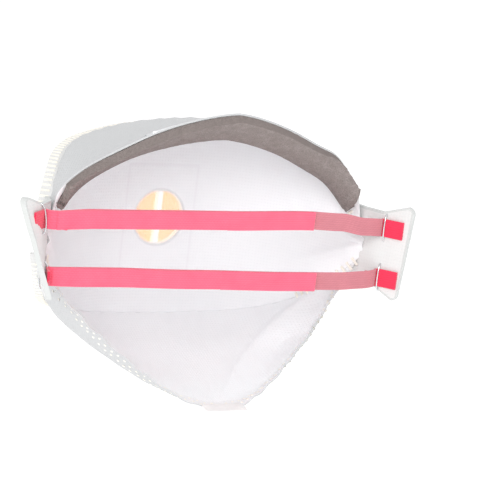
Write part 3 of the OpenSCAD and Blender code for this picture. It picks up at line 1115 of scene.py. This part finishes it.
def band_strip(name, path, up, finish):
    """A ribbed strip of elastic that stands on edge along a path in plan."""
    ribs = 14
    lengths = [0.0]
    for first, second in zip(path, path[1:]):
        lengths.append(lengths[-1] + (second - first).length)

    def place(across, height):
        index = min(len(path) - 1, round((across + 1) / 2 * (len(path) - 1)))
        before, after = path[max(0, index - 1)], path[min(len(path) - 1, index + 1)]
        along = (after - before).normalized()
        rib = round((height + 1) / 2 * ribs)
        relief = 0.00005 * (1 if rib % 2 else -1)
        spot = path[index] + Vector((-along.y, along.x)) * relief
        z = band_middle(spot.x, up) + height * band_width / 2
        return Vector((spot.x, spot.y, z)), (lengths[index], height * band_width / 2)

    strip = lay_cloth(name, len(path) - 1, ribs, place)
    strip.data.materials.append(finish)
    thicken(strip, band_thick, offset=0, smooth=50)
    return strip


def straight(x_from, x_to, y, step=0.002):
    """A straight piece of a band's path in plan."""
    count = max(2, int(abs(x_to - x_from) / step))
    return [Vector((x_from + (x_to - x_from) * i / count, y)) for i in range(count + 1)]


def half_turn(x, y, towards):
    """The folded end that joins two layers; towards is the side it bulges to."""
    radius = layer_pitch / 2
    return [
        Vector((x + towards * radius * sin(pi * i / 10), y + radius - radius * cos(pi * i / 10)))
        for i in range(1, 10)
    ]


def joined_band(name, strips):
    """Joins a half band's strips into one piece and bakes its placement."""
    pick(*strips)
    bpy.ops.object.join()
    half = bpy.context.object
    half.name = name
    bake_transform(half)
    return half


def on_tab_path(side, arcs, up):
    """Path points on a tab's inner face, under the band's middle line."""
    points = [tab_point(side, arc, 0.00055, up * band_height) for arc in arcs]
    return [Vector((p.x, p.y)) for p in points]


layers_y = [first_layer_y + i * layer_pitch for i in range(3)]
for up, label in ((1, "upper"), (-1, "lower")):
    left_end = on_tab_path(1, [band_end_arc - i * 0.0012 for i in range(9)], up)
    left_bend = smooth_path(
        [left_end[-1], left_end[-1] * 0.35 + Vector((0.0715, layers_y[2])) * 0.65,
         Vector((0.062, layers_y[2])), Vector((0.058, layers_y[2]))]
    )
    outer_left = band_strip("strip", left_bend + straight(0.056, 0, layers_y[2]), up, bright_pink)
    folded_left = band_strip(
        "strip",
        straight(0, left_fold_x, layers_y[0]) + half_turn(left_fold_x, layers_y[0], 1)
        + straight(left_fold_x, 0, layers_y[1]),
        up, bright_pink,
    )
    left_half = joined_band(label + "_band_left_half", [outer_left, folded_left])
    folded_right = band_strip(
        "strip",
        straight(0, right_fold_x[up], layers_y[1]) + half_turn(right_fold_x[up], layers_y[1], -1)
        + straight(right_fold_x[up], 0, layers_y[2]),
        up, bright_pink,
    )
    right_end = on_tab_path(-1, [band_end_arc - i * 0.0012 for i in range(9)], up)
    right_bend = smooth_path(
        [right_end[-1], right_end[-1] * 0.35 + Vector((-0.0715, layers_y[0])) * 0.65,
         Vector((-0.062, layers_y[0])), Vector((-0.058, layers_y[0]))]
    )
    single_right = band_strip("strip", right_bend + straight(-0.056, 0, layers_y[0]), up, single_layer_painted_shade_pink)
    right_half = joined_band(label + "_band_right_half", [folded_right, single_right])
    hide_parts(label + "_headband")
    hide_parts(label + "_headband")
    for side, side_label, path in ((1, "left", left_end), (-1, "right", right_end)):
        stub = band_strip(label + "_band_" + side_label + "_stub", path, up, end_red)
        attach(stub, "root")
        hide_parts(label + "_band_" + side_label + "_end")


# ---- Staples ----
# Bright steel wire staples across the band ends. Their legs go through the tabs, and their
# points are bent in on the outside.
staple_steel, _, steel_shader = pattern_on_object(
    "staple_steel", (0.78, 0.79, 0.80), (0.62, 0.63, 0.65), 0.24, 500, 0.00002
)
steel_shader.inputs["Metallic"].default_value = 1.0
staple_half = 0.00565
wire = 0.00035
crown_in = 0.00135
for up, label in ((1, "upper"), (-1, "lower")):
    for side, side_label in ((1, "left"), (-1, "right")):
        middle = band_middle(side * 0.076, up)
        behind = -wall - 0.0004
        corners = [
            (behind, middle + staple_half - 0.0045), (behind, middle + staple_half),
            (crown_in, middle + staple_half), (crown_in, middle - staple_half),
            (behind, middle - staple_half), (behind, middle - staple_half + 0.0045),
        ]
        path = smooth_path([Vector(corner) for corner in corners], 4)
        curve = bpy.data.curves.new("staple", "CURVE")
        curve.dimensions = "3D"
        curve.bevel_depth = wire
        curve.bevel_resolution = 3
        curve.use_fill_caps = True
        line = curve.splines.new("POLY")
        line.points.add(len(path) - 1)
        for point, (inward, z) in zip(line.points, path):
            point.co = (*tab_point(side, staple_arc, inward, z), 1)
        staple = bpy.data.objects.new(label + "_" + side_label + "_wire_staple", curve)
        bpy.context.collection.objects.link(staple)
        pick(staple)
        bpy.ops.object.convert(target="MESH")
        staple = bpy.context.object
        staple.data.materials.append(staple_steel)
        for polygon in staple.data.polygons:
            polygon.use_smooth = True
        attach(staple, "root")
        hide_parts(label + "_" + side_label + "_staple")

bpy.data.objects.remove(bar_mould)
bpy.data.objects.remove(diamond_mould)
